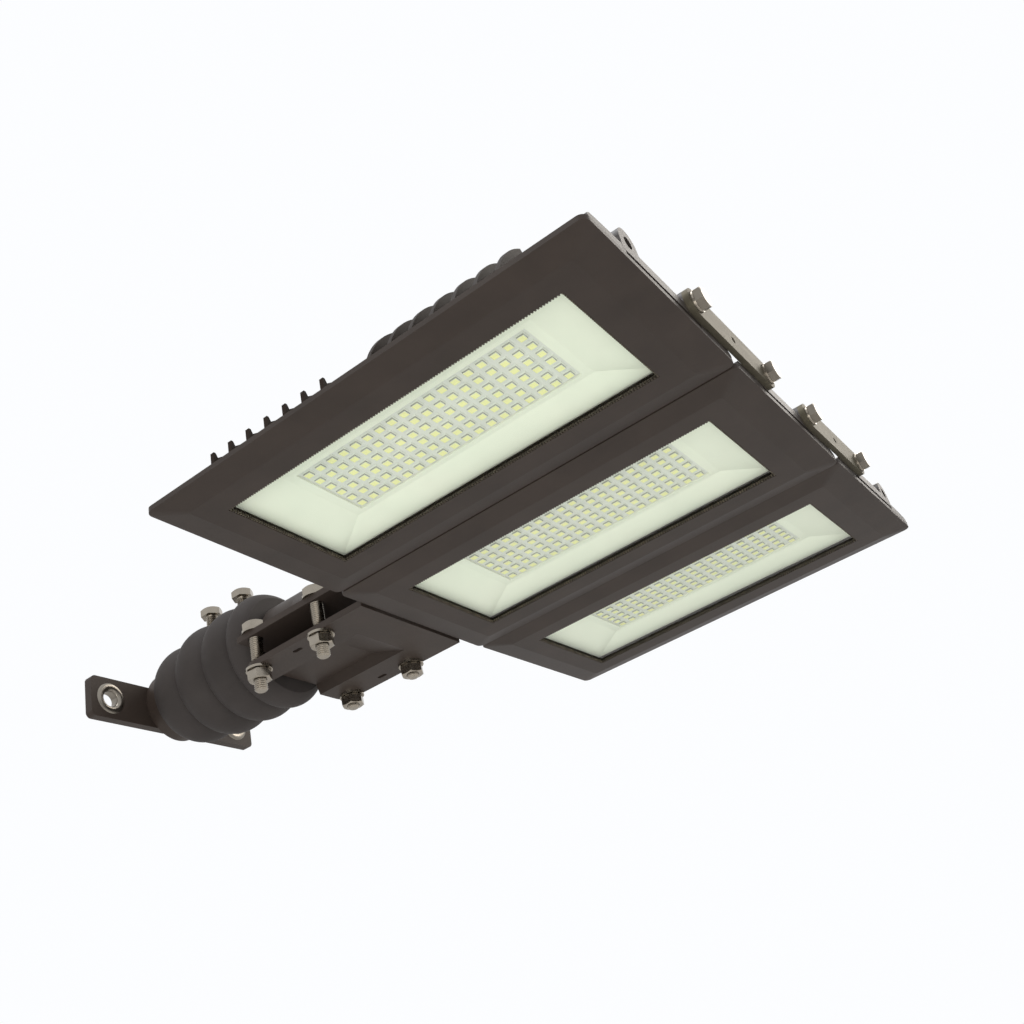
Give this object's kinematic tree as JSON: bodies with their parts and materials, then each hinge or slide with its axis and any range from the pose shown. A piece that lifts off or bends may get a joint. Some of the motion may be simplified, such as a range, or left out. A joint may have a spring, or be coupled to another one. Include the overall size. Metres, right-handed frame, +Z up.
{
  "type": "led street light",
  "caption": "Wall arm street light with flat finned lamp modules side by side, joined by link plates and held by a clamp on a ringed sleeve that turns on the arm.",
  "frame": {"origin": "middle of the foot plate's back face, on the arm's axis", "axes": "+X out along the arm and the modules, +Y across the modules, +Z up"},
  "size_m": [0.4744, 0.3948, 0.1022],
  "materials": {
    "painted_cast": "fine textured dark paint",
    "painted_steel": "satin dark paint",
    "steel": "bright zinc or stainless",
    "rubber": "matt silicone",
    "glass": "clear toughened",
    "white_tray": "satin white",
    "board": "white solder mask",
    "led": "moulded package, pale yellow face",
    "driver_case": "plain",
    "gland": "black nylon"
  },
  "bodies": {
    "foot": {"foot_plate": "painted_steel", "foot_tube": "painted_steel", "foot_bushes": "steel"},
    "head": {"sleeve": "painted_cast", "clamp_upper": "painted_steel", "clamp_lower": "painted_steel", "clamp_bolts": "steel", "clamp_washers": "steel", "clamp_nuts": "steel", "link_bolts_far": "steel", "link_bolts_near": "steel", "link_nuts_far": "steel", "link_nuts_near": "steel", "link_plate_far_left": "steel", "link_plate_far_right": "steel", "link_plate_near_left": "steel", "link_plate_near_right": "steel", "link_washers_far": "steel", "link_washers_near": "steel", "middle_back_cover": "painted_cast", "middle_board": "board", "middle_cover_screws": "steel", "middle_driver": "driver_case", "middle_frame": "painted_cast", "middle_gasket": "rubber", "middle_gland": "gland", "middle_glass": "glass", "middle_housing": "painted_cast", "middle_leds": "led", "middle_reflector": "white_tray"},
    "set_screw_rear": {"set_screw_rear": "steel"},
    "set_screw_front": {"set_screw_front": "steel"},
    "module_left": {"left_back_cover": "painted_cast", "left_board": "board", "left_cover_screws": "steel", "left_driver": "driver_case", "left_frame": "painted_cast", "left_gasket": "rubber", "left_gland": "gland", "left_glass": "glass", "left_housing": "painted_cast", "left_leds": "led", "left_reflector": "white_tray"},
    "module_right": {"right_back_cover": "painted_cast", "right_board": "board", "right_cover_screws": "steel", "right_driver": "driver_case", "right_frame": "painted_cast", "right_gasket": "rubber", "right_gland": "gland", "right_glass": "glass", "right_housing": "painted_cast", "right_leds": "led", "right_reflector": "white_tray"}
  },
  "joints": [
    {"name": "head_turn", "type": "hinge", "parent": "foot", "child": "head", "pos_m": [0.05, 0, 0], "axis": [1, 0, 0], "range_deg": [-90, 90]},
    {"name": "set_screw_rear_slide", "type": "slide", "parent": "head", "child": "set_screw_rear", "axis": [0, 0, 1], "range_m": [-0.0007, 0.008]},
    {"name": "set_screw_front_slide", "type": "slide", "parent": "head", "child": "set_screw_front", "axis": [0, 0, 1], "range_m": [-0.0007, 0.008]},
    {"name": "module_left_tilt", "type": "hinge", "parent": "head", "child": "module_left", "pos_m": [0.34, -0.10388, -0.01687], "axis": [-1, 0, 0], "range_deg": [-1.2, 12]},
    {"name": "module_right_tilt", "type": "hinge", "parent": "head", "child": "module_right", "pos_m": [0.34, 0.10388, -0.01687], "axis": [1, 0, 0], "range_deg": [-1.2, 12]}
  ]
}
